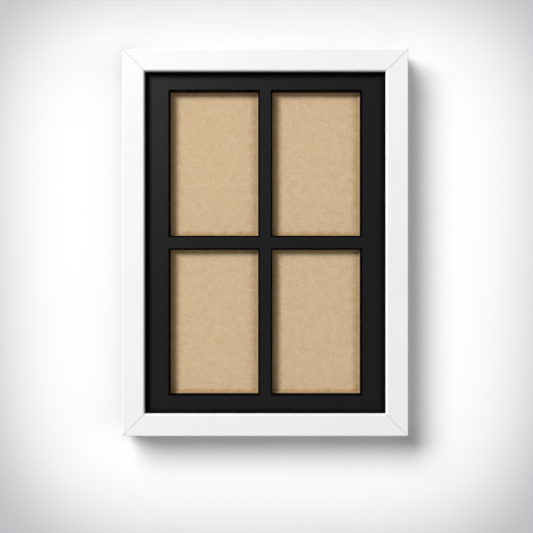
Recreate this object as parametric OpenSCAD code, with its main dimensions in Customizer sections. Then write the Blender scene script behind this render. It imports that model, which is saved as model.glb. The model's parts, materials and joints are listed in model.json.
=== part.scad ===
// Card display frame: a mitred wooden frame whose black window mat holds four graded card slabs.
// Millimetres. Seen from the front, +X is to the right and +Z is up. The front faces -Y.
// The wall is the plane y = 0, and the origin is on it, where the wall nail sits in the hanger's centre notch.

/* [Card slabs] */
// Width of one card slab
slab_w = 82.5; // [70:0.5:100]
// Height of one card slab
slab_h = 136.5; // [110:0.5:160]
// Thickness of one card slab
slab_t = 6.4; // [4:0.1:9]
// Free space at each side of a slab in its pocket
slab_side_gap = 0.75; // [0.3:0.05:1.5]
// Free space above and below a slab in its pocket
slab_end_gap = 0.5; // [0.3:0.05:1.5]
// Free space between a slab and the glazing
slab_face_gap = 0.1; // [0:0.05:0.5]
// Pockets across the frame
columns = 2; // [1:1:3]
// Pockets up the frame
rows = 2; // [1:1:3]

/* [Window mat] */
// Thickness of the mat board
mat_t = 1.4; // [1:0.1:2.4]
// Width of the bevel cut round each window, seen from the front
bevel_w = 1.2; // [0.5:0.1:2]
// Width of the mat between two windows
rib_w = 11.2; // [6:0.2:20]
// Width of the mat left and right of the windows
side_margin = 22.2; // [10:0.2:40]
// Width of the mat above and below the windows
end_margin = 16.6; // [10:0.2:40]

/* [Glazing and backing] */
// Thickness of the clear acrylic sheet
glazing_t = 2; // [1.5:0.1:3]
// Thickness of the kraft liner board
liner_t = 1; // [0.6:0.1:2]
// How far the liner shows inside each pocket wall
ledge_w = 1.45; // [0.8:0.05:3]
// Thickness of the backing board
backing_t = 3; // [2:0.1:5]
// Free space round the edge of every sheet in the rebate
sheet_gap = 0.45; // [0.2:0.05:1]
// How far the backing board lies below the rails' back
back_gap = 0.3; // [0.2:0.05:1]

/* [Rails] */
// Width of a rail across its face
rail_w = 21; // [16:0.5:30]
// Width of the lip that covers the sheets' edges
lip_w = 6; // [4:0.2:7]
// Thickness of the lip
lip_t = 3.5; // [3:0.1:6]
// Radius of the rounded edge beside the glazing
sight_r = 1.8; // [1:0.1:2.5]
// Radius of the rounded outer front edge
arris_r = 0.6; // [0.5:0.1:3]
// Chamfer on the outer back edge
back_chamfer = 0.5; // [0.2:0.1:1]
// Half width of the V-groove along each mitre
mitre_half_w = 0.25; // [0.1:0.05:0.6]
// Depth of the V-groove along each mitre
mitre_depth = 0.5; // [0.2:0.1:1.5]

/* [V-nails] */
// Length of one leg of a V-nail
v_nail_leg = 4.5; // [3:0.25:5]
// Thickness of the V-nail strip
v_nail_t = 0.5; // [0.3:0.05:0.8]
// Depth that a V-nail is driven to
v_nail_h = 10; // [5:0.5:12]
// Distance from both outer edges to the outer V-nail
v_nail_inset = 2.4; // [1.5:0.1:3]
// Distance between the two V-nails of a mitre, along each rail's width
v_nail_pitch = 6; // [4:0.25:6]

/* [Turn buttons] */
// Radius of the round eye
eye_r = 5.5; // [4:0.1:6]
// Radius of the blade's tip
tip_r = 3.2; // [2:0.1:4]
// Distance from the pivot to the blade's tip
blade_l = 17; // [13:0.5:24]
// Thickness of a turn button
button_t = 1.4; // [1:0.1:2]
// Free space under a turn button and under its screw's head
button_gap = 0.1; // [0.05:0.05:0.2]
// Free space round the screw in the turn button's hole
button_fit = 0.08; // [0.02:0.01:0.1]
// Place of the turn buttons along a rail, as a share of half its length
button_place_share = 0.5; // [0.4:0.05:0.7]

/* [Turn button screws] */
// Radius of the screw's shank
screw_r = 1.5; // [1:0.1:2]
// Length of the shank in the wood
screw_l = 9; // [5:0.5:12]
// Radius of the pan head
head_r = 2.9; // [2.5:0.1:3.6]
// Height of the pan head
head_h = 1.7; // [1.2:0.1:1.8]
// Length of one arm of the cross recess
recess_l = 1.5; // [1:0.1:2]
// Width of the cross recess
recess_w = 0.8; // [0.5:0.05:1]
// Depth of the cross recess
recess_d = 0.9; // [0.4:0.1:1.1]
// Free space round a screw or nail in its hole in the wood
pilot_fit = 0.05; // [0.02:0.01:0.1]

/* [Sawtooth hanger] */
// Length of the hanger strip
hanger_l = 46; // [36:1:60]
// Height of the hanger strip
hanger_h = 9; // [7:0.25:11]
// Thickness of the hanger strip
hanger_t = 0.8; // [0.5:0.1:1.2]
// Clear height behind the raised middle of the strip
hanger_rise = 1.7; // [1.2:0.1:2]
// Length of the raised middle
raised_l = 26; // [20:1:30]
// Length of the slope at each end of the raised middle
slope_l = 2; // [1.5:0.1:3]
// Distance between two notches
notch_pitch = 4; // [3:0.25:6]
// Depth of a notch
notch_h = 1.7; // [1:0.1:2.5]
// Half width of a notch's mouth, as a share of the notch pitch
notch_mouth_share = 0.4; // [0.3:0.05:0.45]

/* [Hanger nails] */
// Radius of a nail's shank
nail_r = 0.7; // [0.5:0.1:1]
// Length of a nail's shank below the hanger strip
nail_l = 9; // [5:0.5:12]
// Radius of a nail's head
nail_head_r = 1.7; // [1.2:0.1:2]
// Height of a nail's head
nail_head_h = 0.8; // [0.5:0.1:1.2]

/* [Wall bumpers] */
// Radius of a bumper pad
bumper_r = 5; // [3.5:0.1:6]
// Height of a bumper pad, which sets the gap between the rails and the wall
bumper_h = 4; // [3.8:0.1:8]
// Radius of a bumper's rounded edge
bumper_edge_r = 1.2; // [0.5:0.1:2]

/* [Hidden] */

// Every cut runs this far past the faces that it breaks
overrun = 1;
// The cuts that only thin sheets need stay short
sheet_overrun = 0.5;

// A slab passes through the mat and the spacer, and lies between the glazing and the liner
pocket_w = slab_w + 2 * slab_side_gap;
pocket_h = slab_h + 2 * slab_end_gap;
spacer_t = slab_t + slab_face_gap - mat_t;

// The windows, the mat that shows, and the frame, from the inside out
window_w = pocket_w + 2 * bevel_w;
window_h = pocket_h + 2 * bevel_w;
pitch_x = window_w + rib_w;
pitch_z = window_h + rib_w;
sight_w = columns * pitch_x - rib_w + 2 * side_margin;
sight_h = rows * pitch_z - rib_w + 2 * end_margin;
outer_w = sight_w + 2 * rail_w;
outer_h = sight_h + 2 * rail_w;
land_w = rail_w - lip_w;
sheet_w = outer_w - 2 * (land_w + sheet_gap);
sheet_h = outer_h - 2 * (land_w + sheet_gap);

// The stack, from the wall forward to the rails' face
rail_back_y = -bumper_h;
backing_rear_y = rail_back_y - back_gap;
backing_y = backing_rear_y - backing_t;
liner_y = backing_y - liner_t;
spacer_y = liner_y - spacer_t;
mat_y = spacer_y - mat_t;
glazing_y = mat_y - glazing_t;
face_y = glazing_y - lip_t;

// The hanger strip lies along the middle of the top rail's back, and its centre notch is at z = 0
hanger_top_z = hanger_h - notch_h;
centre_z = hanger_top_z - hanger_h / 2 + land_w / 2 - outer_h / 2;
raised_y = rail_back_y + hanger_rise;
tab_l = (hanger_l - raised_l) / 2 - slope_l;
nail_x = (hanger_l - tab_l) / 2;
nail_z = hanger_top_z - hanger_h / 2;

// A turn button turns on its screw, in the middle of the rail's back
button_y = rail_back_y + button_gap;
button_rear_y = button_y + button_t;
head_y = button_rear_y + button_gap;

// Smoothness of round pieces
round_fn = 64;
small_fn = 32;

// Extrudes an outline drawn in X and Z from y0 back to y1
module along_y(y0, y1) {
    translate([0, y1, 0])
        rotate([90, 0, 0])
            linear_extrude(y1 - y0)
                children();
}

// A cylinder along Y, from y0 back to y1
module rod_y(r, y0, y1) {
    translate([0, y0, 0])
        rotate([-90, 0, 0])
            cylinder(r = r, h = y1 - y0, $fn = small_fn);
}

// Puts what is drawn along X, with the outer edge at z = 0 and the inside upward, on one edge of the frame
module on_edge(side) {
    translate([0, 0, centre_z]) {
        if (side == "bottom")
            translate([0, 0, -outer_h / 2])
                children();
        if (side == "top")
            mirror([0, 0, 1])
                translate([0, 0, -outer_h / 2])
                    children();
        if (side == "left")
            translate([-outer_w / 2, 0, 0])
                rotate([0, 90, 0])
                    children();
        if (side == "right")
            mirror([1, 0, 0])
                translate([-outer_w / 2, 0, 0])
                    rotate([0, 90, 0])
                        children();
    }
}

// Puts what is drawn for the lower left corner, with the outer edges on the axes, on one corner
module on_corner(side_x, side_z) {
    translate([side_x * outer_w / 2, 0, centre_z + side_z * outer_h / 2])
        mirror([side_x > 0 ? 1 : 0, 0, 0])
            mirror([0, 0, side_z > 0 ? 1 : 0])
                children();
}

// Repeats its children at the middle of every pocket
module at_pockets() {
    for (column = [0 : columns - 1], row = [0 : rows - 1])
        translate([
            (column - (columns - 1) / 2) * pitch_x,
            0,
            centre_z + (row - (rows - 1) / 2) * pitch_z
        ])
            children();
}

// Rails

// What a rounding takes off the corner at the origin of a shape that lies up and to the right of it
module rounding(r) {
    difference() {
        translate([-overrun, -overrun])
            square(r + overrun);
        translate([r, r])
            circle(r, $fn = round_fn);
    }
}

// What a chamfer takes off the corner at the origin, for any direction of the two faces
module chamfer(c) {
    rotate(45)
        square(c * sqrt(2), center = true);
}

// A rail's section: X is the depth from front to back, and Y the distance in from the outer edge
module rail_section() {
    difference() {
        translate([face_y, 0])
            square([rail_back_y - face_y, rail_w]);
        translate([glazing_y, land_w])
            square([rail_back_y - glazing_y + overrun, lip_w + overrun]);
        translate([face_y, 0])
            rounding(arris_r);
        translate([face_y, rail_w])
            mirror([0, 1])
                rounding(sight_r);
        translate([rail_back_y, 0])
            chamfer(back_chamfer);
    }
}

// The wedge that cuts half of the V-groove along the mitre at a rail's left end
module mitre_groove(length) {
    groove_l = rail_w * sqrt(2) + 2 * overrun;
    translate([-length / 2, face_y, 0])
        rotate([0, -45, 0])
            translate([-overrun, 0, 0])
                rotate([90, 0, 90])
                    linear_extrude(groove_l)
                        polygon([
                            [-overrun, -mitre_half_w],
                            [0, -mitre_half_w],
                            [mitre_depth, 0],
                            [0, mitre_half_w],
                            [-overrun, mitre_half_w]
                        ]);
}

// A rail lies along X with its outer edge at z = 0, and both its ends are mitred
module rail_blank(length) {
    difference() {
        intersection() {
            translate([-length / 2, 0, 0])
                rotate([90, 0, 90])
                    linear_extrude(length)
                        rail_section();
            along_y(face_y - overrun, rail_back_y + overrun)
                polygon([
                    [-length / 2, 0],
                    [length / 2, 0],
                    [length / 2 - rail_w, rail_w],
                    [-length / 2 + rail_w, rail_w]
                ]);
        }
        mitre_groove(length);
        mirror([1, 0, 0])
            mitre_groove(length);
        at_buttons(length)
            rod_y(screw_r + pilot_fit, rail_back_y - screw_l, rail_back_y + overrun);
    }
}

module rail(side, length) {
    color("white")
        difference() {
            on_edge(side)
                rail_blank(length);
            v_nail_set();
        }
}

module top_rail() {
    difference() {
        rail("top", outer_w);
        at_hanger_nails()
            rod_y(nail_r + pilot_fit, rail_back_y - nail_l, rail_back_y + overrun);
    }
}

module bottom_rail() {
    rail("bottom", outer_w);
}

module left_rail() {
    rail("left", outer_h);
}

module right_rail() {
    rail("right", outer_h);
}

// V-nails

// One V-nail, with its point on the mitre and one leg along each rail
module v_nail() {
    along_y(rail_back_y - v_nail_h, rail_back_y) {
        square([v_nail_leg, v_nail_t]);
        square([v_nail_t, v_nail_leg]);
    }
}

module v_nail_set() {
    for (side_x = [-1, 1], side_z = [-1, 1], place = [0, 1])
        on_corner(side_x, side_z)
            translate([v_nail_inset + place * v_nail_pitch, 0, v_nail_inset + place * v_nail_pitch])
                v_nail();
}

module v_nails() {
    color("silver")
        v_nail_set();
}

// Sheets in the rebate, from front to back

// A plain sheet that fills the rebate between y0 and y1
module sheet(y0, y1) {
    translate([0, 0, centre_z])
        along_y(y0, y1)
            square([sheet_w, sheet_h], center = true);
}

// A straight hole of a given width and height at each pocket, through what lies between y0 and y1
module pocket_holes(w, h, y0, y1) {
    at_pockets()
        along_y(y0 - sheet_overrun, y1 + sheet_overrun)
            square([w, h], center = true);
}

// Half the size of a bevelled window at each face of its cut: front is past the mat's face, and back past its rear
function window_front(size) = size / 2 + bevel_w * (1 + sheet_overrun / mat_t);
function window_back(size) = size / 2 - bevel_w * sheet_overrun / mat_t;

// The section of a bevelled window, with Y as the depth, for a pocket of a given size
module window_section(size) {
    polygon([
        [-window_front(size), mat_y - sheet_overrun],
        [window_front(size), mat_y - sheet_overrun],
        [window_back(size), spacer_y + sheet_overrun],
        [-window_back(size), spacer_y + sheet_overrun]
    ]);
}

// The cut of a bevelled window, wide at the front and the size of the pocket at the back
module window_cut() {
    intersection() {
        translate([0, 0, -window_front(pocket_h)])
            linear_extrude(2 * window_front(pocket_h))
                window_section(pocket_w);
        translate([-window_front(pocket_w), 0, 0])
            rotate([90, 0, 90])
                linear_extrude(2 * window_front(pocket_w))
                    mirror([1, -1])
                        window_section(pocket_h);
    }
}

module glazing_sheet() {
    color("azure", 0.3)
        sheet(glazing_y, mat_y);
}

module window_mat() {
    color([0.13, 0.13, 0.13])
        difference() {
            sheet(mat_y, spacer_y);
            at_pockets()
                window_cut();
        }
}

module slab_spacer() {
    color([0.05, 0.05, 0.05])
        difference() {
            sheet(spacer_y, liner_y);
            pocket_holes(pocket_w, pocket_h, spacer_y, liner_y);
        }
}

module kraft_liner() {
    color([0.72, 0.58, 0.44])
        difference() {
            sheet(liner_y, backing_y);
            pocket_holes(pocket_w - 2 * ledge_w, pocket_h - 2 * ledge_w, liner_y, backing_y);
        }
}

module backing_board() {
    color([0.81, 0.7, 0.56])
        sheet(backing_y, backing_rear_y);
}

// Turn buttons and their screws

// Repeats its children at the two turn buttons of a rail that lies along X
module at_buttons(length) {
    for (end = [-1, 1])
        at_button(length, end)
            children();
}

// The pivot of one turn button, with the rail's nearer end along +X
module at_button(length, end) {
    mirror([end > 0 ? 0 : 1, 0, 0])
        translate([button_place_share * length / 2, 0, land_w / 2])
            children();
}

// The eye and the tip are joined by the straight lines that touch both circles
tip_x = blade_l - tip_r;
taper_sin = (eye_r - tip_r) / tip_x;
taper_cos = sqrt(1 - taper_sin * taper_sin);

module button_outline() {
    circle(eye_r, $fn = round_fn);
    translate([tip_x, 0])
        circle(tip_r, $fn = round_fn);
    polygon([
        [eye_r * taper_sin, -eye_r * taper_cos],
        [tip_x + tip_r * taper_sin, -tip_r * taper_cos],
        [tip_x + tip_r * taper_sin, tip_r * taper_cos],
        [eye_r * taper_sin, eye_r * taper_cos]
    ]);
}

// A turn button at rest is open: it lies along its rail and leaves the backing board free to come out
module turn_button(side, length, end) {
    color("silver")
        on_edge(side)
            at_button(length, end)
                difference() {
                    along_y(button_y, button_rear_y)
                        button_outline();
                    rod_y(screw_r + button_fit, button_y - button_gap / 2, button_rear_y + button_gap / 2);
                }
}

// On an upright rail +X of the edge's own frame points down
module turn_button_top_left() {
    turn_button("top", outer_w, -1);
}

module turn_button_top_right() {
    turn_button("top", outer_w, 1);
}

module turn_button_bottom_left() {
    turn_button("bottom", outer_w, -1);
}

module turn_button_bottom_right() {
    turn_button("bottom", outer_w, 1);
}

module turn_button_left_upper() {
    turn_button("left", outer_h, -1);
}

module turn_button_left_lower() {
    turn_button("left", outer_h, 1);
}

module turn_button_right_upper() {
    turn_button("right", outer_h, -1);
}

module turn_button_right_lower() {
    turn_button("right", outer_h, 1);
}

// The shank runs to the head, and the head is a low dome with a cross recess
module screw() {
    rod_y(screw_r, rail_back_y - screw_l, head_y);
    difference() {
        translate([0, head_y, 0])
            rotate([-90, 0, 0])
                rotate_extrude($fn = round_fn)
                    screw_head_section();
        for (turn = [0, 90])
            rotate([0, turn, 0])
                along_y(head_y + head_h - recess_d, head_y + head_h + overrun)
                    square([2 * recess_l, recess_w], center = true);
    }
}

// Half of the pan head: a straight rim, then a rounded shoulder
shoulder_share = 0.7;
shoulder_r = shoulder_share * head_h;

module screw_head_section() {
    square([head_r, head_h - shoulder_r]);
    square([head_r - shoulder_r, head_h]);
    intersection() {
        translate([head_r - shoulder_r, head_h - shoulder_r])
            circle(shoulder_r, $fn = round_fn);
        square([head_r, head_h]);
    }
}

module turn_button_screws() {
    color("silver") {
        for (side = ["top", "bottom"])
            on_edge(side)
                at_buttons(outer_w)
                    screw();
        for (side = ["left", "right"])
            on_edge(side)
                at_buttons(outer_h)
                    screw();
    }
}

// Sawtooth hanger and its nails

// The strip seen from above: flat tabs on the rail and a raised middle that the wall nail goes behind
module hanger_section() {
    polygon([
        [-hanger_l / 2, rail_back_y],
        [-raised_l / 2 - slope_l, rail_back_y],
        [-raised_l / 2, raised_y],
        [raised_l / 2, raised_y],
        [raised_l / 2 + slope_l, rail_back_y],
        [hanger_l / 2, rail_back_y],
        [hanger_l / 2, rail_back_y + hanger_t],
        [raised_l / 2 + slope_l, rail_back_y + hanger_t],
        [raised_l / 2, raised_y + hanger_t],
        [-raised_l / 2, raised_y + hanger_t],
        [-raised_l / 2 - slope_l, rail_back_y + hanger_t],
        [-hanger_l / 2, rail_back_y + hanger_t]
    ]);
}

// As many notches as the raised middle holds, with one at its centre
side_notches = floor(raised_l / 2 / notch_pitch - 1 / 2);

module notches() {
    for (place = [-side_notches : side_notches])
        translate([place * notch_pitch, 0, 0])
            along_y(rail_back_y, raised_y + hanger_t + overrun)
                polygon([
                    [-2 * notch_mouth_share * notch_pitch, -2 * notch_h],
                    [2 * notch_mouth_share * notch_pitch, -2 * notch_h],
                    [0, 0]
                ]);
}

module at_hanger_nails() {
    for (end = [-1, 1])
        translate([end * nail_x, 0, nail_z])
            children();
}

module sawtooth_hanger() {
    color("silver")
        difference() {
            translate([0, 0, -notch_h])
                linear_extrude(hanger_h)
                    hanger_section();
            notches();
            at_hanger_nails()
                rod_y(nail_r + pilot_fit, rail_back_y - overrun, rail_back_y + hanger_t + overrun);
        }
}

module hanger_nails() {
    color("silver")
        at_hanger_nails() {
            rod_y(nail_r, rail_back_y - nail_l, rail_back_y + hanger_t);
            rod_y(nail_head_r, rail_back_y + hanger_t, rail_back_y + hanger_t + nail_head_h);
        }
}

// Wall bumpers

// Half of a pad's section: X is the radius, and Y the height off the rail
module bumper_section() {
    square([bumper_r, bumper_h - bumper_edge_r]);
    square([bumper_r - bumper_edge_r, bumper_h]);
    intersection() {
        translate([bumper_r - bumper_edge_r, bumper_h - bumper_edge_r])
            circle(bumper_edge_r, $fn = round_fn);
        square([bumper_r, bumper_h]);
    }
}

module wall_bumper(side_x) {
    color([0.2, 0.2, 0.2])
        on_corner(side_x, -1)
            translate([land_w / 2, rail_back_y, land_w / 2])
                rotate([-90, 0, 0])
                    rotate_extrude($fn = round_fn)
                        bumper_section();
}

module wall_bumper_left() {
    wall_bumper(-1);
}

module wall_bumper_right() {
    wall_bumper(1);
}

top_rail();
bottom_rail();
left_rail();
right_rail();
v_nails();
glazing_sheet();
window_mat();
slab_spacer();
kraft_liner();
backing_board();
turn_button_top_left();
turn_button_top_right();
turn_button_bottom_left();
turn_button_bottom_right();
turn_button_left_upper();
turn_button_left_lower();
turn_button_right_upper();
turn_button_right_lower();
turn_button_screws();
sawtooth_hanger();
hanger_nails();
wall_bumper_left();
wall_bumper_right();
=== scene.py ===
"""Looks of the card display frame: finishes for every piece, and a plain studio with a white wall behind it.

The frame hangs on the wall y = 0, faces -Y, and its origin is the wall nail. All lengths are in metres.
"""

import json
import logging
import math
from dataclasses import dataclass
from enum import Enum
from functools import cache
from typing import Any, Iterable

import bpy
from bpy.types import Material, Node, NodeSocket, NodeTree, Object
from mathutils import Matrix, Vector


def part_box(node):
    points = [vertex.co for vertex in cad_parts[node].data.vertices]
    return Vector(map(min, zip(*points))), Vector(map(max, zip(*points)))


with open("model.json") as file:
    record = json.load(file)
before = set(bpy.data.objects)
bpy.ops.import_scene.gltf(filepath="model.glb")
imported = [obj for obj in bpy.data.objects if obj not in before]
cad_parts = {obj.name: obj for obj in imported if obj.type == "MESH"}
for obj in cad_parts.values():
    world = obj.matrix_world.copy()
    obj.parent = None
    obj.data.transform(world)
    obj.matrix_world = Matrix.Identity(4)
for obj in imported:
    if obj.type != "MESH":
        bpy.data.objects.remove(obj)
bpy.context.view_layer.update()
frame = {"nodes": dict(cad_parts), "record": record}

LOG = logging.getLogger("card_display_frame")

MM = 0.001
# Sockets of a Mix node: the inputs and the result of its colours, and the inputs of its plain numbers
MIX_A, MIX_B, MIX_RESULT = 6, 7, 2
MIX_LOW, MIX_HIGH = 2, 3
# Half the length, in metres, of a side that a mask has no limit on
ENDLESS = 1.0
# Soft edges: corners closer than this are one, and edges sharper than this are rounded
WELD = 0.001 * MM
SHARP = math.radians(35)

Value = Node | NodeSocket


class Grain(Enum):
    """The axis that a piece's wood grain, or its rolled or brushed finish, runs along."""

    ALONG_X = 0
    ALONG_Z = 2


def linear(hex_colour: str) -> tuple[float, float, float, float]:
    """Turns an sRGB hex colour into the linear colour that a shader reads.

    Args:
        hex_colour: a colour such as "#D0B48F".

    Returns:
        Linear red, green and blue, and an alpha of 1.
    """
    parts = [int(hex_colour[i:i + 2], 16) / 255 for i in (1, 3, 5)]
    red, green, blue = (c / 12.92 if c <= 0.04045 else ((c + 0.055) / 1.055) ** 2.4 for c in parts)
    return red, green, blue, 1.0


def per_metre(size_mm: float) -> float:
    """Returns the texture scale whose pattern repeats about every size_mm millimetres."""
    return 1 / (size_mm * MM)


def add(tree: NodeTree, kind: str, inputs: dict[Any, Any] | None = None, **settings: Any) -> Node:
    """Adds a node with its settings and links.

    Args:
        tree: the node tree that gets the node.
        kind: the node's type without its leading "ShaderNode", such as "Math".
        inputs: socket name or index to a value, a socket to link from, or a node to link the first output of.
        settings: the node's own properties.

    Returns:
        The new node.
    """
    node = tree.nodes.new(f"ShaderNode{kind}")
    for name, value in settings.items():
        setattr(node, name, value)
    for key, value in (inputs or {}).items():
        if isinstance(value, Node):
            value = value.outputs[0]
        if isinstance(value, NodeSocket):
            tree.links.new(value, node.inputs[key])
        else:
            node.inputs[key].default_value = value
    return node


def new_tree(name: str) -> tuple[Material, NodeTree]:
    """Makes an empty node material.

    Args:
        name: the material's name.

    Returns:
        The material and its node tree, with no nodes in it.
    """
    material = bpy.data.materials.new(name)
    material.use_nodes = True
    material.node_tree.nodes.clear()
    return material, material.node_tree


def stretched(tree: NodeTree, grain: Grain, ratio: float) -> Node:
    """Adds coordinates in which a pattern is drawn out along the grain.

    Args:
        tree: the material's node tree.
        grain: the axis of the grain.
        ratio: how many times longer than wide the pattern gets.

    Returns:
        The mapping node.
    """
    scale = [1.0, 1.0, 1.0]
    scale[grain.value] = 1 / ratio
    place = add(tree, "TexCoord")
    return add(tree, "Mapping", {"Vector": place.outputs["Object"], "Scale": scale})


@dataclass(frozen=True)
class Measures:
    """Where the main faces of the frame lie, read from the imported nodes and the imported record."""

    half_w: float
    half_h: float
    centre_z: float
    rail_w: float
    land_w: float
    face_y: float
    glazing_y: float
    window_x: float
    window_z: float
    window_half_w: float
    window_half_h: float
    pocket_half_w: float
    pocket_half_h: float

    @classmethod
    def read(cls) -> "Measures":
        """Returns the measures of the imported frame."""
        low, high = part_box("left_rail")
        sheet_low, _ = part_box("glazing_sheet")
        centre_z = (high.z + low.z) / 2
        openings = {opening["name"]: opening["box_m"] for opening in frame["record"]["physics"]["openings"]}
        near, far = openings["liner_window_upper_right"]
        pocket_near, pocket_far = openings["slab_pocket_upper_right"]
        return cls(
            half_w=-low.x,
            half_h=(high.z - low.z) / 2,
            centre_z=centre_z,
            rail_w=high.x - low.x,
            land_w=sheet_low.x - low.x,
            face_y=low.y,
            glazing_y=sheet_low.y,
            window_x=(near[0] + far[0]) / 2,
            window_z=(near[2] + far[2]) / 2 - centre_z,
            window_half_w=(far[0] - near[0]) / 2,
            window_half_h=(far[2] - near[2]) / 2,
            pocket_half_w=(pocket_far[0] - pocket_near[0]) / 2,
            pocket_half_h=(pocket_far[2] - pocket_near[2]) / 2,
        )


MEASURES = Measures.read()


def from_frame_middle(tree: NodeTree) -> tuple[Value, Value]:
    """Adds the place across and up the frame, measured from its middle.

    Args:
        tree: the material's node tree.

    Returns:
        The distances rightward and upward from the middle, in metres.
    """
    at = add(tree, "SeparateXYZ", {"Vector": add(tree, "TexCoord").outputs["Object"]})
    up = add(tree, "Math", {0: at.outputs["Z"], 1: MEASURES.centre_z}, operation="SUBTRACT")
    return at.outputs["X"], up


def from_window_middle(tree: NodeTree) -> tuple[Value, Value]:
    """Adds the place across and up each of the four windows, measured from that window's own middle.

    Args:
        tree: the material's node tree.

    Returns:
        The distances rightward and upward from the middle, in metres.
    """
    places = []
    for place, out in zip(from_frame_middle(tree), (MEASURES.window_x, MEASURES.window_z)):
        side = add(tree, "Math", {0: place}, operation="SIGN")
        places.append(add(tree, "Math", {0: side, 1: -out, 2: place}, operation="MULTIPLY_ADD"))
    return places[0], places[1]


def depth_inside(tree: NodeTree, places: tuple[Value, Value], half_w: float, half_h: float) -> Node:
    """Adds the distance inward from the nearest edge of a rectangle.

    Args:
        tree: the material's node tree.
        places: the place across and up from the rectangle's middle.
        half_w: half the rectangle's width.
        half_h: half its height.

    Returns:
        A node whose value is in metres, and negative outside.
    """
    depths = []
    for place, half in zip(places, (half_w, half_h)):
        away = add(tree, "Math", {0: place}, operation="ABSOLUTE")
        depths.append(add(tree, "Math", {0: half, 1: away}, operation="SUBTRACT"))
    return add(tree, "Math", {0: depths[0], 1: depths[1]}, operation="MINIMUM")


# Finishes of the object


@dataclass(frozen=True)
class LacqueredWood:
    """Poplar moulding, sprayed with satin white lacquer on the face and sides and left bare at the back.

    The lacquer is a soft white whose faint orange peel and raised grain break up the reflections. The bare
    back is pale wood with a mist of overspray along its outer edge.
    """

    grain: Grain
    white: str = "#F4F4F5"
    white_thin: str = "#F1F1F2"
    wood_light: str = "#D9BE97"
    wood_dark: str = "#B99468"
    pore: str = "#8A6842"
    grime: str = "#D0CFCD"
    lacquer_roughness: float = 0.3
    wood_roughness: float = 0.78
    tone_mm: float = 60.0
    peel_mm: float = 1.3
    peel_depth_mm: float = 0.012
    grain_mm: float = 0.7
    grain_ratio: float = 40.0
    grain_depth_mm: float = 0.03
    ring_mm: float = 5.0
    # Dust in the mitres' grooves: how far along a rail it reaches and is full, and the depths of the same
    groove_mm: float = 0.5
    groove_floor_mm: float = 0.1
    groove_depths_mm: tuple[float, float] = (0.02, 0.2)
    # The overspray on the back, and the bare rebate's margins behind and beside the glazing
    mist_mm: float = 3.5
    speck_mm: float = 0.5
    rebate_margin_mm: float = 0.1
    land_margin_mm: float = 1.0

    def build(self) -> Material:
        """Returns the material."""
        material, tree = new_tree(f"satin_white_lacquer_{self.grain.name.lower()}")
        along = stretched(tree, self.grain, self.grain_ratio)
        place = add(tree, "TexCoord")
        bare = self._bare_mask(tree, place)

        fibres = add(tree, "TexNoise", {"Vector": along, "Scale": per_metre(self.grain_mm), "Detail": 4.0})
        pores = add(tree, "MapRange", {"Value": fibres, "From Min": 0.56, "From Max": 0.7, "To Max": 0.55})
        rings = add(tree, "TexNoise", {"Vector": along, "Scale": per_metre(self.ring_mm), "Detail": 2.0})
        wood = add(tree, "Mix", {
            0: add(tree, "MapRange", {"Value": rings, "From Min": 0.35, "From Max": 0.65}),
            MIX_A: linear(self.wood_light), MIX_B: linear(self.wood_dark)}, data_type="RGBA")
        wood = add(tree, "Mix", {
            0: pores, MIX_A: wood.outputs[MIX_RESULT], MIX_B: linear(self.pore)}, data_type="RGBA")

        depth = add(tree, "TexNoise", {
            "Vector": place.outputs["Object"], "Scale": per_metre(self.tone_mm), "Detail": 2.0})
        paint = add(tree, "Mix", {
            0: add(tree, "MapRange", {"Value": depth, "From Min": 0.3, "From Max": 0.7}),
            MIX_A: linear(self.white), MIX_B: linear(self.white_thin)}, data_type="RGBA")
        paint = add(tree, "Mix", {
            0: self._groove_mask(tree, place), MIX_A: paint.outputs[MIX_RESULT], MIX_B: linear(self.grime)},
            data_type="RGBA")
        colour = add(tree, "Mix", {
            0: bare, MIX_A: paint.outputs[MIX_RESULT], MIX_B: wood.outputs[MIX_RESULT]}, data_type="RGBA")

        peel = add(tree, "TexNoise", {
            "Vector": place.outputs["Object"], "Scale": per_metre(self.peel_mm), "Detail": 1.0})
        peel_bump = add(tree, "Bump", {"Height": peel, "Strength": 0.25, "Distance": self.peel_depth_mm * MM})
        raised = add(tree, "MapRange", {"Value": bare, "To Min": 0.2, "To Max": 0.8})
        grain_bump = add(tree, "Bump", {
            "Height": fibres, "Strength": raised, "Distance": self.grain_depth_mm * MM, "Normal": peel_bump})
        roughness = add(tree, "MapRange", {
            "Value": bare, "To Min": self.lacquer_roughness, "To Max": self.wood_roughness})
        shader = add(tree, "BsdfPrincipled", {
            "Base Color": colour.outputs[MIX_RESULT], "Roughness": roughness, "IOR": 1.47,
            "Normal": grain_bump})
        add(tree, "OutputMaterial", {"Surface": shader})
        return material

    def _bare_mask(self, tree: NodeTree, place: Node) -> Node:
        """Adds the mask of the bare wood.

        Args:
            tree: the material's node tree.
            place: a texture coordinate node.

        Returns:
            A node whose value is 1 on bare wood and 0 on lacquer, with speckled overspray between.
        """
        normal = add(tree, "SeparateXYZ", {"Vector": place.outputs["Normal"]})
        at = add(tree, "SeparateXYZ", {"Vector": place.outputs["Object"]})
        behind = add(tree, "MapRange", {"Value": normal.outputs["Y"], "From Min": 0.8, "From Max": 0.9})
        inward = depth_inside(tree, from_frame_middle(tree), MEASURES.half_w, MEASURES.half_h)

        speckle = add(tree, "TexNoise", {
            "Vector": place.outputs["Object"], "Scale": per_metre(self.speck_mm), "Detail": 3.0})
        reach = add(tree, "Math", {0: speckle, 1: self.mist_mm * MM, 2: inward}, operation="MULTIPLY_ADD")
        mist = add(tree, "MapRange", {
            "Value": reach, "From Min": self.mist_mm * MM, "From Max": 2 * self.mist_mm * MM},
            interpolation_type="SMOOTHSTEP")
        back = add(tree, "Math", {0: behind, 1: mist}, operation="MULTIPLY")

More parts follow.
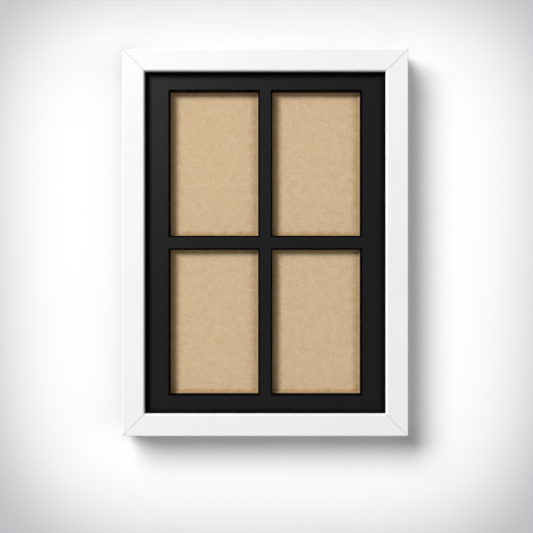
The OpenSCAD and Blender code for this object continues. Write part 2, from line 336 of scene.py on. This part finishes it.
        rebate_y = MEASURES.glazing_y + self.rebate_margin_mm * MM
        land_w = MEASURES.land_w - self.land_margin_mm * MM
        deep = add(tree, "Math", {0: at.outputs["Y"], 1: rebate_y}, operation="GREATER_THAN")
        inner = add(tree, "Math", {0: inward, 1: land_w}, operation="GREATER_THAN")
        rebate = add(tree, "Math", {0: deep, 1: inner}, operation="MULTIPLY")
        return add(tree, "Math", {0: back, 1: rebate}, operation="MAXIMUM")

    def _groove_mask(self, tree: NodeTree, place: Node) -> Node:
        """Adds the mask of the mitres' V-grooves, where the lacquer is thin and dust settles.

        Args:
            tree: the material's node tree.
            place: a texture coordinate node.

        Returns:
            A node whose value rises from 0 at a groove's brim to 1 at its bottom.
        """
        places = from_frame_middle(tree)
        from_side = depth_inside(tree, places, MEASURES.half_w, ENDLESS)
        from_end = depth_inside(tree, places, ENDLESS, MEASURES.half_h)
        off = add(tree, "Math", {0: from_side, 1: from_end}, operation="SUBTRACT")
        off = add(tree, "Math", {0: off}, operation="ABSOLUTE")
        line = add(tree, "MapRange", {
            "Value": off, "From Min": self.groove_mm * MM, "From Max": self.groove_floor_mm * MM})
        at = add(tree, "SeparateXYZ", {"Vector": place.outputs["Object"]})
        brim, floor = (MEASURES.face_y + depth * MM for depth in self.groove_depths_mm)
        sunk = add(tree, "MapRange", {"Value": at.outputs["Y"], "From Min": brim, "From Max": floor})
        return add(tree, "Math", {0: line, 1: sunk}, operation="MULTIPLY")


@dataclass(frozen=True)
class AcrylicSheet:
    """Cast acrylic with a low reflection coating: unseen from the front, and shiny at a flat angle."""

    tint: tuple[float, ...] = (0.997, 0.998, 0.998, 1.0)
    ior: float = 1.49
    coated_share: float = 0.12
    gloss: float = 0.03

    def build(self) -> Material:
        """Returns the material."""
        material, tree = new_tree("coated_cast_acrylic")
        edge = add(tree, "Fresnel", {"IOR": self.ior})
        share = add(tree, "Math", {0: edge, 1: self.coated_share}, operation="MULTIPLY")
        clear = add(tree, "BsdfTransparent", {"Color": self.tint})
        shine = add(tree, "BsdfGlossy", {"Color": (1.0, 1.0, 1.0, 1.0), "Roughness": self.gloss})
        mixed = add(tree, "MixShader", {0: share, 1: clear, 2: shine})
        add(tree, "OutputMaterial", {"Surface": mixed})
        return material


@dataclass(frozen=True)
class MatBoard:
    """Solid black mat board: a black paper face with a broad soft sheen, deeper black where it is cut, and
    painted shade by the rails and round each window.
    """

    face: str = "#050505"
    face_light: str = "#080808"
    core: str = "#010101"
    sheen: float = 0.44
    cut_sheen: float = 0.01
    roughness: float = 0.4
    cut_roughness: float = 1.0
    # Painted shade beside each rail: the paper is painted black as far as the first distance, and open from
    # the second
    lip_shade_left_mm: tuple[float, float] = (2.7, 7.1)
    lip_shade_right_mm: tuple[float, float] = (0.5, 6.6)
    lip_shade_top_mm: tuple[float, float] = (2.6, 7.3)
    lip_shade_bottom_mm: tuple[float, float] = (0.0, 5.5)
    # The bevel's width, and the width of the painted shade line round it
    bevel_mm: float = 1.2
    edge_shade_mm: float = 0.6
    fibre_mm: float = 0.8
    fibre_depth_mm: float = 0.05
    mottle_mm: float = 6.0

    def build(self) -> Material:
        """Returns the material."""
        material, tree = new_tree("black_mat_board")
        place = add(tree, "TexCoord")
        normal = add(tree, "SeparateXYZ", {"Vector": place.outputs["Normal"]})
        cut = add(tree, "MapRange", {"Value": normal.outputs["Y"], "From Min": -0.95, "From Max": -0.8})
        fibres = add(tree, "TexNoise", {
            "Vector": place.outputs["Object"], "Scale": per_metre(self.fibre_mm), "Detail": 4.0,
            "Distortion": 0.6})
        mottle = add(tree, "TexNoise", {
            "Vector": place.outputs["Object"], "Scale": per_metre(self.mottle_mm), "Detail": 3.0})
        uneven = add(tree, "Math", {0: fibres, 1: mottle}, operation="ADD")
        paper = add(tree, "Mix", {
            0: add(tree, "MapRange", {"Value": uneven, "From Min": 0.75, "From Max": 1.25}),
            MIX_A: linear(self.face), MIX_B: linear(self.face_light)}, data_type="RGBA")
        # The cut is the core's own black; the bands by the rails and the line round each window are painted
        # shade, also with less sheen
        deep = cut
        for mask in (*self._lip_shade(tree), self._edge_shade(tree)):
            deep = add(tree, "Math", {0: deep, 1: mask}, operation="MAXIMUM")
        colour = add(tree, "Mix", {
            0: deep, MIX_A: paper.outputs[MIX_RESULT], MIX_B: linear(self.core)}, data_type="RGBA")
        tooth = add(tree, "Bump", {"Height": fibres, "Strength": 0.3, "Distance": self.fibre_depth_mm * MM})
        roughness = add(tree, "MapRange", {
            "Value": cut, "To Min": self.roughness, "To Max": self.cut_roughness})
        sheen = add(tree, "Mix", {0: deep, MIX_LOW: self.sheen, MIX_HIGH: self.cut_sheen})
        shader = add(tree, "BsdfPrincipled", {
            "Base Color": colour.outputs[MIX_RESULT], "Roughness": roughness, "IOR": 1.45,
            "Specular IOR Level": sheen, "Normal": tooth})
        add(tree, "OutputMaterial", {"Surface": shader})
        return material

    def _lip_shade(self, tree: NodeTree) -> list[Node]:
        """Adds the masks of the painted shade along the rails, where the lip's shadow falls.

        Args:
            tree: the material's node tree.

        Returns:
            One node for each side, whose value falls from 1 beside the rail to 0 on the open face.
        """
        across, up = from_frame_middle(tree)
        half_w, half_h = MEASURES.half_w - MEASURES.rail_w, MEASURES.half_h - MEASURES.rail_w
        masks = []
        for place, half, sign, (full_mm, none_mm) in (
                (across, half_w, 1.0, self.lip_shade_left_mm), (across, half_w, -1.0, self.lip_shade_right_mm),
                (up, half_h, -1.0, self.lip_shade_top_mm), (up, half_h, 1.0, self.lip_shade_bottom_mm)):
            inside = add(tree, "Math", {0: place, 1: sign, 2: half}, operation="MULTIPLY_ADD")
            masks.append(add(tree, "MapRange", {
                "Value": inside, "From Min": none_mm * MM, "From Max": full_mm * MM}))
        return masks

    def _edge_shade(self, tree: NodeTree) -> Node:
        """Adds the mask of the narrow painted shade line round each window's bevel.

        Args:
            tree: the material's node tree.

        Returns:
            A node whose value falls from 1 at the bevel to 0 on the open face.
        """
        bevel = self.bevel_mm * MM
        depth = depth_inside(
            tree, from_window_middle(tree), MEASURES.pocket_half_w + bevel, MEASURES.pocket_half_h + bevel)
        return add(tree, "MapRange", {
            "Value": depth, "From Min": -self.edge_shade_mm * MM, "From Max": -0.5 * self.edge_shade_mm * MM})


@dataclass(frozen=True)
class FoamBoard:
    """Black foam board, knife cut: dead black walls with fine drag marks along the stroke of the blade."""

    black: str = "#060606"
    drag: str = "#0B0B0B"
    drag_mm: float = 0.4
    drag_ratio: float = 20.0
    drag_depth_mm: float = 0.05

    def build(self) -> Material:
        """Returns the material."""
        material, tree = new_tree("black_foam_board")
        place = add(tree, "TexCoord")
        layers = add(tree, "Mapping", {
            "Vector": place.outputs["Object"], "Scale": (1 / self.drag_ratio, 1.0, 1 / self.drag_ratio)})
        drags = add(tree, "TexNoise", {"Vector": layers, "Scale": per_metre(self.drag_mm), "Detail": 3.0})
        colour = add(tree, "Mix", {
            0: add(tree, "MapRange", {"Value": drags, "From Min": 0.35, "From Max": 0.65}),
            MIX_A: linear(self.black), MIX_B: linear(self.drag)}, data_type="RGBA")
        ridges = add(tree, "Bump", {"Height": drags, "Strength": 0.4, "Distance": self.drag_depth_mm * MM})
        shader = add(tree, "BsdfPrincipled", {
            "Base Color": colour.outputs[MIX_RESULT], "Roughness": 0.9, "IOR": 1.45,
            "Specular IOR Level": 0.1, "Normal": ridges})
        add(tree, "OutputMaterial", {"Surface": shader})
        return material


@dataclass(frozen=True)
class PressedFibre:
    """Board pressed from brown wood fibre: tan, with a fine grain of pale and brown fibres and painted shade
    along the windows.

    Fibres are about 0.1 mm wide and are drawn as a grain of about 1 mm, because finer ones vanish in the
    render.
    """

    name: str
    pale: str
    brown: str
    fleck: str
    # Colours that darken the tan as painted shade in the bands along the windows
    shade_left_and_ends: str = "#FFFFFF"
    shade_right: str = "#FFFFFF"
    # The widths of the painted shade bands along the windows: at the left and at both ends, and at the right
    shade_left_mm: float = 8.5
    shade_ends_mm: float = 3.0
    shade_right_mm: float = 7.5
    ragged_mm: float = 5.0
    grain_mm: float = 1.0
    grain_depth_mm: float = 0.04
    patch_mm: float = 7.0
    patch_share: float = 0.35
    fleck_mm: float = 1.8
    fleck_share: float = 0.26

    def build(self) -> Material:
        """Returns the material."""
        material, tree = new_tree(self.name)
        place = add(tree, "TexCoord")
        at = place.outputs["Object"]
        grain = add(tree, "TexNoise", {
            "Vector": at, "Scale": per_metre(self.grain_mm), "Detail": 2.0, "Roughness": 0.6,
            "Distortion": 0.5})
        patches = add(tree, "TexNoise", {"Vector": at, "Scale": per_metre(self.patch_mm), "Detail": 3.0})
        blend = add(tree, "Math", {0: patches, 1: self.patch_share, 2: grain}, operation="MULTIPLY_ADD")
        tan = add(tree, "Mix", {
            0: add(tree, "MapRange", {"Value": blend, "From Min": 0.42, "From Max": 0.92}),
            MIX_A: linear(self.brown), MIX_B: linear(self.pale)}, data_type="RGBA")
        flecks = add(tree, "TexNoise", {
            "Vector": at, "Scale": per_metre(self.fleck_mm), "Detail": 2.0, "Distortion": 3.0})
        flecks = add(tree, "MapRange", {
            "Value": flecks, "From Min": 0.6, "From Max": 0.72, "To Max": self.fleck_share})
        tan = add(tree, "Mix", {
            0: flecks, MIX_A: tan.outputs[MIX_RESULT], MIX_B: linear(self.fleck)}, data_type="RGBA")
        # Painted shade: bands along the windows' edges darken the tan, in one colour at the left and the ends
        # and another at the right
        across, up = from_window_middle(tree)
        sides = (
            (across, MEASURES.window_half_w, 1.0, self.shade_left_mm, self.shade_left_and_ends),
            (across, MEASURES.window_half_w, -1.0, self.shade_right_mm, self.shade_right),
            (up, MEASURES.window_half_h, 1.0, self.shade_ends_mm, self.shade_left_and_ends),
            (up, MEASURES.window_half_h, -1.0, self.shade_ends_mm, self.shade_left_and_ends))
        colour = tan
        for away, half, sign, width_mm, shade_colour in sides:
            inside = add(tree, "Math", {0: away, 1: sign, 2: half}, operation="MULTIPLY_ADD")
            colour = add(tree, "Mix", {
                0: self._shade_band(tree, place, inside, patches, width_mm), MIX_A: colour.outputs[MIX_RESULT],
                MIX_B: linear(shade_colour)}, data_type="RGBA", blend_type="MULTIPLY")
        tooth = add(tree, "Bump", {"Height": grain, "Strength": 0.35, "Distance": self.grain_depth_mm * MM})
        shader = add(tree, "BsdfPrincipled", {
            "Base Color": colour.outputs[MIX_RESULT], "Roughness": 0.86, "IOR": 1.45,
            "Specular IOR Level": 0.15, "Normal": tooth})
        add(tree, "OutputMaterial", {"Surface": shader})
        return material

    def _shade_band(self, tree: NodeTree, place: Node, inside: Node, patches: Node, width_mm: float) -> Node:
        """Adds the mask of a ragged band of painted shade along one side of the windows, on the board's
        front.

        Args:
            tree: the material's node tree.
            place: a texture coordinate node.
            inside: the distance in from that side.
            patches: a noise that makes the band ragged.
            width_mm: the band's width.

        Returns:
            A node whose value falls from 1 at the side to 0 where the band ends.
        """
        uneven = add(tree, "Math", {0: patches, 1: self.ragged_mm * MM, 2: inside}, operation="MULTIPLY_ADD")
        middle_mm = self.ragged_mm / 2
        band = add(tree, "MapRange", {
            "Value": uneven, "From Min": (width_mm + middle_mm) * MM, "From Max": middle_mm * MM})
        normal = add(tree, "SeparateXYZ", {"Vector": place.outputs["Normal"]})
        front = add(tree, "MapRange", {"Value": normal.outputs["Y"], "From Min": -0.5, "From Max": -0.9})
        return add(tree, "Math", {0: band, 1: front}, operation="MULTIPLY")


@dataclass(frozen=True)
class ZincPlate:
    """Stamped steel with bright zinc plate: a cool grey metal with a faint straw bloom and rolling lines."""

    grain: Grain
    steel: str = "#C4C7CC"
    straw: str = "#CAC2AC"
    rolled: str = "#A6AAB1"
    bloom_mm: float = 7.0
    line_mm: float = 0.3
    line_ratio: float = 30.0
    line_depth_mm: float = 0.01
    polished: float = 0.26
    dulled: float = 0.46

    @cache
    def build(self) -> Material:
        """Returns the material, which is made once for each grain."""
        material, tree = new_tree(f"zinc_plated_steel_{self.grain.name.lower()}")
        place = add(tree, "TexCoord").outputs["Object"]
        along = stretched(tree, self.grain, self.line_ratio)
        bloom = add(tree, "TexNoise", {"Vector": place, "Scale": per_metre(self.bloom_mm), "Detail": 3.0})
        lines = add(tree, "TexNoise", {"Vector": along, "Scale": per_metre(self.line_mm), "Detail": 2.0})
        colour = add(tree, "Mix", {
            0: add(tree, "MapRange", {"Value": bloom, "From Min": 0.4, "From Max": 0.7, "To Max": 0.6}),
            MIX_A: linear(self.steel), MIX_B: linear(self.straw)}, data_type="RGBA")
        streaks = add(tree, "MapRange", {"Value": lines, "From Min": 0.45, "From Max": 0.75, "To Max": 0.6})
        colour = add(tree, "Mix", {
            0: streaks, MIX_A: colour.outputs[MIX_RESULT], MIX_B: linear(self.rolled)}, data_type="RGBA")
        dull = add(tree, "Math", {0: streaks, 1: 0.3, 2: bloom}, operation="MULTIPLY_ADD")
        roughness = add(tree, "MapRange", {
            "Value": dull, "From Min": 0.3, "From Max": 0.8, "To Min": self.polished, "To Max": self.dulled})
        rolled = add(tree, "Bump", {"Height": lines, "Strength": 0.25, "Distance": self.line_depth_mm * MM})
        shader = add(tree, "BsdfPrincipled", {
            "Base Color": colour.outputs[MIX_RESULT], "Metallic": 1.0, "Roughness": roughness,
            "Normal": rolled})
        add(tree, "OutputMaterial", {"Surface": shader})
        return material


@dataclass(frozen=True)
class MouldedRubber:
    """Moulded black rubber: a dull charcoal with a fine spark-eroded grain and a little dust."""

    rubber: str = "#1D1D1E"
    dust: str = "#3A3938"
    grain_mm: float = 0.4
    grain_depth_mm: float = 0.03
    dust_mm: float = 2.5

    def build(self) -> Material:
        """Returns the material."""
        material, tree = new_tree("moulded_black_rubber")
        place = add(tree, "TexCoord").outputs["Object"]
        grain = add(tree, "TexNoise", {"Vector": place, "Scale": per_metre(self.grain_mm), "Detail": 3.0})
        dust = add(tree, "TexNoise", {"Vector": place, "Scale": per_metre(self.dust_mm), "Detail": 4.0})
        colour = add(tree, "Mix", {
            0: add(tree, "MapRange", {"Value": dust, "From Min": 0.5, "From Max": 0.75, "To Max": 0.5}),
            MIX_A: linear(self.rubber), MIX_B: linear(self.dust)}, data_type="RGBA")
        bump = add(tree, "Bump", {"Height": grain, "Strength": 0.4, "Distance": self.grain_depth_mm * MM})
        shader = add(tree, "BsdfPrincipled", {
            "Base Color": colour.outputs[MIX_RESULT], "Roughness": 0.72, "IOR": 1.52, "Normal": bump})
        add(tree, "OutputMaterial", {"Surface": shader})
        return material


# Sub-assemblies of the object


def dress(names: Iterable[str], material: Material) -> None:
    """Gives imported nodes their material.

    Args:
        names: the nodes' names.
        material: the material that takes the place of each node's own.
    """
    for name in names:
        materials = frame["nodes"][name].data.materials
        materials.clear()
        materials.append(material)
        LOG.info("%s: %s", name, material.name)


def soften(names: Iterable[str], width: float, segments: int = 2) -> None:
    """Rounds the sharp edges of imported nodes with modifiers.

    Args:
        names: the nodes' names.
        width: the width of the rounding, in metres.
        segments: the number of steps across it.
    """
    for name in names:
        node = frame["nodes"][name]
        weld = node.modifiers.new("weld", "WELD")
        weld.merge_threshold = WELD
        bevel = node.modifiers.new("soft_edge", "BEVEL")
        bevel.width = width
        bevel.segments = segments
        bevel.limit_method = "ANGLE"
        bevel.angle_limit = SHARP
        bevel.harden_normals = True


@dataclass
class Rails:
    """The four mitred rails and the V-nails that hold their corners."""

    level: tuple[str, ...] = ("top_rail", "bottom_rail")
    upright: tuple[str, ...] = ("left_rail", "right_rail")
    nails: tuple[str, ...] = ("v_nails",)

    def build(self) -> None:
        """Dresses the rails with their grain along their length, and the nails."""
        dress(self.level, LacqueredWood(Grain.ALONG_X).build())
        dress(self.upright, LacqueredWood(Grain.ALONG_Z).build())
        dress(self.nails, ZincPlate(Grain.ALONG_X).build())


@dataclass
class FrontPackage:
    """The glazing, the window mat and the spacer, which stay in the rebate behind the lip."""

    arris: float = 0.12 * MM

    def build(self) -> None:
        """Dresses the sheets and rounds the cut edges of the mat."""
        dress(["glazing_sheet"], AcrylicSheet().build())
        dress(["window_mat"], MatBoard().build())
        dress(["slab_spacer"], FoamBoard().build())
        soften(["window_mat"], self.arris)


@dataclass
class BackPanel:
    """The liner and the backing board, which lift out together."""

    cut_edge: float = 0.1 * MM

    def build(self) -> None:
        """Dresses the two boards and rounds their edges."""
        liner = PressedFibre("kraft_liner_board", pale="#D4B388", brown="#BE976A", fleck="#A47E55")
        # The backing board's front carries painted shade along the windows' edges
        board = PressedFibre(
            "sanded_fibre_board", pale="#E3CAA8", brown="#CCAC82", fleck="#BE9A70", shade_left_and_ends="#E5DAC7",
            shade_right="#D5CCC0")
        dress(["kraft_liner"], liner.build())
        dress(["backing_board"], board.build())
        soften(["kraft_liner", "backing_board"], self.cut_edge)


@dataclass
class TurnButtons:
    """The turn buttons that hold the back panel in, with their screws."""

    level: tuple[str, ...] = tuple(
        f"turn_button_{row}_{side}" for row in ("top", "bottom") for side in ("left", "right"))
    upright: tuple[str, ...] = tuple(
        f"turn_button_{side}_{row}" for side in ("left", "right") for row in ("upper", "lower"))
    burr: float = 0.15 * MM

    def build(self) -> None:
        """Dresses the buttons with their rolling lines along the blade, and the screws."""
        dress(self.level, ZincPlate(Grain.ALONG_X).build())
        dress(self.upright, ZincPlate(Grain.ALONG_Z).build())
        dress(["turn_button_screws"], ZincPlate(Grain.ALONG_X).build())
        soften(self.level + self.upright, self.burr)


@dataclass
class WallHardware:
    """The sawtooth hanger with its nails, and the two wall bumpers."""

    burr: float = 0.12 * MM

    def build(self) -> None:
        """Dresses the hanger, its nails and the bumpers."""
        dress(["sawtooth_hanger", "hanger_nails"], ZincPlate(Grain.ALONG_X).build())
        soften(["sawtooth_hanger", "hanger_nails"], self.burr)
        dress(["wall_bumper_left", "wall_bumper_right"], MouldedRubber().build())


# The studio


@dataclass(frozen=True)
class WallPaint:
    """Matt white wall paint with a painted light fall-off to grey towards the front view's corners, kept
    beyond them.

    The frame's lit sides throw light on the wall beside them, and painted shade makes the paint greyer there
    to cancel it. The frame's lit sides throw light on the wall beside them, which the photograph doesn't
    show, so the paint is greyer there. Behind the frame a painted shadow darkens the paint, because the lamp
    that lights the frame's back shines through the wall.
    """

    white: str = "#FCFCFC"
    grey: str = "#BCBCBF"
    # The photograph's middle and half its sides on the wall, in metres, and how it widens towards the top
    centre: tuple[float, float] = (0.0033, -0.1953)
    half_view: tuple[float, float] = (0.2456, 0.2519)
    keystone: float = 0.034
    # The painted light fall-off: how square its outline is, how late it sets in, and how far it has come at
    # the sides
    squareness: float = 4.04
    fall: float = 2.38
    edge_share: float = 0.413
    # Painted shade against the light that the frame's sides throw, as shares of the wall's, and how far it
    # reaches
    thrown_shade_left: float = 0.355
    thrown_shade_top: float = 0.18
    thrown_mm: float = 20.0
    # Painted shadow behind the frame: the paint goes from its full brightness to shade_level between these
    # depths
    shade_mm: tuple[float, float] = (-1.0, 5.0)
    shade_level: float = 0.15

    def build(self) -> Material:
        """Returns the material, which shows from the front only, so that the frame's back can be seen."""
        material, tree = new_tree("matt_white_wall")
        at = add(tree, "SeparateXYZ", {"Vector": add(tree, "TexCoord").outputs["Object"]})
        across, up = (
            add(tree, "Math", {0: at.outputs[axis], 1: 1 / half, 2: -middle / half}, operation="MULTIPLY_ADD")
            for axis, middle, half in zip("XZ", self.centre, self.half_view))
        widened = add(tree, "Math", {0: up, 1: self.keystone, 2: 1.0}, operation="MULTIPLY_ADD")
        powers = []
        for away in (add(tree, "Math", {0: across, 1: widened}, operation="DIVIDE"), up):
            away = add(tree, "Math", {0: away}, operation="ABSOLUTE")
            powers.append(add(tree, "Math", {0: away, 1: self.squareness}, operation="POWER"))
        reach = add(tree, "Math", {0: powers[0], 1: powers[1]}, operation="ADD")
        reach = add(tree, "Math", {0: reach, 1: self.fall}, operation="POWER")
        share = add(tree, "Math", {0: reach, 1: -self.edge_share}, operation="MULTIPLY")
        colour = add(tree, "Mix", {
            0: add(tree, "Math", {0: share}, operation="EXPONENT"),
            MIX_A: linear(self.grey), MIX_B: linear(self.white)}, data_type="RGBA")
        shaded = add(tree, "VectorMath", {
            0: colour.outputs[MIX_RESULT], "Scale": self._painted_shade_share(tree, at)}, operation="SCALE")
        paint = add(tree, "BsdfDiffuse", {"Color": shaded})
        unseen = add(tree, "BsdfTransparent")
        side = add(tree, "NewGeometry")
        shown = add(tree, "MixShader", {0: side.outputs["Backfacing"], 1: paint, 2: unseen})
        add(tree, "OutputMaterial", {"Surface": shown})
        return material

    def _painted_shade_share(self, tree: NodeTree, at: Node) -> Node:
        """Adds the share of the paint's brightness left by the painted shade beside the frame and the painted
        shadow behind it.

        Args:
            tree: the material's node tree.
            at: the separated place on the wall.

        Returns:
            A node whose value is 1 away from the frame.
        """
        height = add(tree, "Math", {0: at.outputs["Z"], 1: MEASURES.centre_z}, operation="SUBTRACT")
        share: Node | float = 1.0
        # Painted shade beside the frame's left and top sides
        for strength, toward, half_toward, along, half_along in (
                (-self.thrown_shade_left, at.outputs["X"], -MEASURES.half_w, height, MEASURES.half_h),
                (-self.thrown_shade_top, height, MEASURES.half_h, at.outputs["X"], MEASURES.half_w)):
            off = add(tree, "Math", {0: toward, 1: half_toward}, operation="SUBTRACT")
            off = add(tree, "Math", {0: off}, operation="ABSOLUTE")
            fade = add(tree, "Math", {0: off, 1: -self.thrown_mm * MM}, operation="DIVIDE")
            fade = add(tree, "Math", {0: fade}, operation="EXPONENT")
            beside = add(tree, "MapRange", {
                "Value": add(tree, "Math", {0: along}, operation="ABSOLUTE"), "To Max": strength,
                "From Min": half_along + self.thrown_mm * MM, "From Max": half_along - self.thrown_mm * MM},
                interpolation_type="SMOOTHSTEP")
            share = add(tree, "Math", {0: fade, 1: beside, 2: share}, operation="MULTIPLY_ADD")
        # Painted shadow on the wall behind the frame
        open_mm, covered_mm = self.shade_mm
        covered = add(tree, "MapRange", {
            "Value": depth_inside(tree, from_frame_middle(tree), MEASURES.half_w, MEASURES.half_h),
            "From Min": open_mm * MM, "From Max": covered_mm * MM, "To Min": 1.0, "To Max": self.shade_level},
            interpolation_type="SMOOTHSTEP")
        return add(tree, "Math", {0: share, 1: covered}, operation="MULTIPLY")


@dataclass(frozen=True)
class FloorPaint:
    """Pale matt studio floor, which shows the camera an even glow under its own shading."""

    pale: str = "#EFEFEF"
    clouded: str = "#EBEBEC"
    cloud_m: float = 0.5
    glow: float = 0.55

    def build(self) -> Material:
        """Returns the material."""
        material, tree = new_tree("pale_studio_floor")
        place = add(tree, "TexCoord").outputs["Object"]
        cloud = add(tree, "TexNoise", {"Vector": place, "Scale": 1 / self.cloud_m})
        tone = add(tree, "Mix", {
            0: cloud, MIX_A: linear(self.pale), MIX_B: linear(self.clouded)}, data_type="RGBA")
        shader = add(tree, "BsdfPrincipled", {"Base Color": tone.outputs[MIX_RESULT], "Roughness": 0.7})
        seen = add(tree, "Math", {
            0: add(tree, "LightPath").outputs["Is Camera Ray"], 1: self.glow}, operation="MULTIPLY")
        glow = add(tree, "Emission", {"Color": tone.outputs[MIX_RESULT], "Strength": seen})
        add(tree, "OutputMaterial", {"Surface": add(tree, "AddShader", {0: shader, 1: glow})})
        return material


def plane(name: str, corners: list[tuple[float, float, float]], material: Material) -> Object:
    """Makes one flat stage surface.

    Args:
        name: the object's name.
        corners: its four corners, counter-clockwise seen from its front.
        material: its material.

    Returns:
        The object.
    """
    mesh = bpy.data.meshes.new(name)
    mesh.from_pydata(corners, [], [(0, 1, 2, 3)])
    mesh.materials.append(material)
    made = bpy.data.objects.new(name, mesh)
    bpy.context.scene.collection.objects.link(made)
    LOG.info("%s", name)
    return made


@dataclass(frozen=True)
class SoftLamp:
    """A round or oval softbox that shines on the middle of the frame.

    An oval one has its long side level with the wall, which makes the ends of a slanting shadow squarer.
    """

    name: str
    # From the frame to the lamp
    toward: tuple[float, float, float]
    distance: float
    size: float
    # What a white face that is parallel to the wall shows by this lamp alone
    level: float
    slimness: float = 1.0
    mirrored: bool = True

    def build(self) -> Object:
        """Makes the lamp.

        A flat lamp of power P sends P / pi along its axis for each unit of solid angle, so that a white face
        turned by the angle a from it, at the distance d, shows the level P * cos(a) / (pi * d) ** 2.

        Returns:
            The lamp's object, which gives a white face that is parallel to the wall the level asked for.
        """
        toward = Vector(self.toward).normalized()
        light = bpy.data.lights.new(self.name, "AREA")
        light.shape = "ELLIPSE"
        light.size = self.size
        light.size_y = self.size * self.slimness
        light.energy = self.level * (math.pi * self.distance) ** 2 / abs(toward.y)
        lamp = bpy.data.objects.new(self.name, light)
        lamp.location = Vector((0, MEASURES.face_y, MEASURES.centre_z)) + toward * self.distance
        across = Vector((toward.z, 0, -toward.x)).normalized()
        lamp.rotation_euler = Matrix((across, toward.cross(across), toward)).transposed().to_euler()
        lamp.visible_glossy = self.mirrored
        bpy.context.scene.collection.objects.link(lamp)
        return lamp


@dataclass
class Studio:
    """The wall, the floor, the lamps and the camera."""

    wall_reach: float = 1.6
    floor_z: float = -0.95
    floor_reach: float = 5.0
    # The room's light from the front and behind, how much more comes from below, and what the camera sees
    front_level: float = 0.25
    rear_level: float = 0.3
    floor_share: float = 0.4
    backdrop_level: float = 0.93
    key: SoftLamp = SoftLamp("key_softbox", (-1.08, -1.0, 0.88), 5.0, 1.75, 0.69)
    fill: SoftLamp = SoftLamp("fill_softbox", (-0.5, -1.0, 0.55), 4.0, 2.0, 0.10)
    wall_key: SoftLamp = SoftLamp("wall_softbox", (-1.267, -1.0, 1.285), 40.0, 42.6, 0.806, slimness=0.38)
    rear: SoftLamp = SoftLamp("rear_softbox", (0.4, 1.0, 0.1), 4.0, 3.2, 0.7, mirrored=False)
    # The camera: its lens, its distance from the frame's face, and its place beside and below the middle
    lens_mm: float = 50.0
    sensor_mm: float = 36.0
    camera_gap: float = 0.6998
    camera_x: float = 0.0012
    camera_z_below: float = 0.0227

    def build(self) -> None:
        """Makes the whole studio."""
        self._camera()
        wall, floor = self._surfaces()
        self._lamps(wall, floor)
        self._room()

    def _camera(self) -> None:
        """Sets the camera square on to the wall, at the photograph's distance."""
        lens = bpy.data.cameras.new("camera")
        lens.lens = self.lens_mm
        lens.sensor_width = self.sensor_mm
        camera = bpy.data.objects.new("camera", lens)
        camera.location = (
            self.camera_x, MEASURES.face_y - self.camera_gap, MEASURES.centre_z - self.camera_z_below)
        camera.rotation_euler = (math.radians(90), 0, 0)
        bpy.context.scene.collection.objects.link(camera)
        bpy.context.scene.camera = camera

    def _surfaces(self) -> tuple[Object, Object]:
        """Makes the wall and the floor.

        Returns:
            The wall and the floor.
        """
        reach, z, far = self.wall_reach, self.floor_z, self.floor_reach
        upright = [(-reach, 0, z), (reach, 0, z), (reach, 0, reach), (-reach, 0, reach)]
        level = [(-far, -far, z), (far, -far, z), (far, far, z), (-far, far, z)]
        wall = plane("wall", upright, WallPaint().build())
        floor = plane("floor", level, FloorPaint().build())
        for surface in (wall, floor):
            surface.visible_diffuse = False
            surface.visible_glossy = False
        wall.visible_shadow = False
        return wall, floor

    def _lamps(self, wall: Object, floor: Object) -> None:
        """Makes the lamps.

        Args:
            wall: the wall, whose wider lamp of its own makes the shadow as soft as in the photograph.
            floor: the floor, which the key softbox would light unevenly.
        """
        self.rear.build()
        self.fill.build()
        for lamp, state, surfaces in (
                (self.key, "EXCLUDE", (wall, floor)), (self.wall_key, "INCLUDE", (wall,))):
            lit = bpy.data.collections.new(f"{lamp.name}_lit")
            for surface in surfaces:
                lit.objects.link(surface)
            for linked in lit.collection_objects:
                linked.light_linking.link_state = state
            lamp.build().light_linking.receiver_collection = lit

    def _room(self) -> None:
        """Makes the room's even light: a little stronger from behind and below, and pale to the camera."""
        world = bpy.data.worlds.new("room")
        world.use_nodes = True
        tree = world.node_tree
        tree.nodes.clear()
        toward = add(tree, "SeparateXYZ", {"Vector": add(tree, "TexCoord").outputs["Generated"]})
        behind = add(tree, "MapRange", {"Value": toward.outputs["Y"], "From Min": -0.05, "From Max": 0.15},
                     interpolation_type="SMOOTHSTEP")
        level = add(tree, "Mix", {0: behind, MIX_LOW: self.front_level, MIX_HIGH: self.rear_level})
        from_below = add(tree, "Math", {
            0: toward.outputs["Z"], 1: -self.floor_share, 2: 1.0}, operation="MULTIPLY_ADD")
        level = add(tree, "Math", {0: level.outputs[0], 1: from_below}, operation="MULTIPLY")
        path = add(tree, "LightPath")
        mirrored = add(tree, "Math", {
            0: path.outputs["Is Glossy Ray"], 1: path.outputs["Is Transmission Ray"]}, operation="MAXIMUM")
        mirrored = add(tree, "Math", {0: mirrored, 1: behind}, operation="MULTIPLY")
        shown = add(tree, "Math", {0: mirrored, 1: path.outputs["Is Camera Ray"]}, operation="MAXIMUM")
        seen = add(tree, "Mix", {0: shown, MIX_LOW: level, MIX_HIGH: self.backdrop_level})
        air = add(tree, "Background", {"Color": (1.0, 1.0, 1.0, 1.0), "Strength": seen})
        add(tree, "OutputWorld", {"Surface": air})
        bpy.context.scene.world = world


def main() -> None:
    """Builds the studio and dresses every sub-assembly, in order."""
    logging.basicConfig(level=logging.INFO, format="%(message)s")
    scene = bpy.context.scene
    scene.view_settings.view_transform = "Standard"
    for part in (Studio(), Rails(), FrontPackage(), BackPanel(), TurnButtons(), WallHardware()):
        part.build()
        LOG.info("built %s", type(part).__name__)


if __name__ == "__main__":
    main()
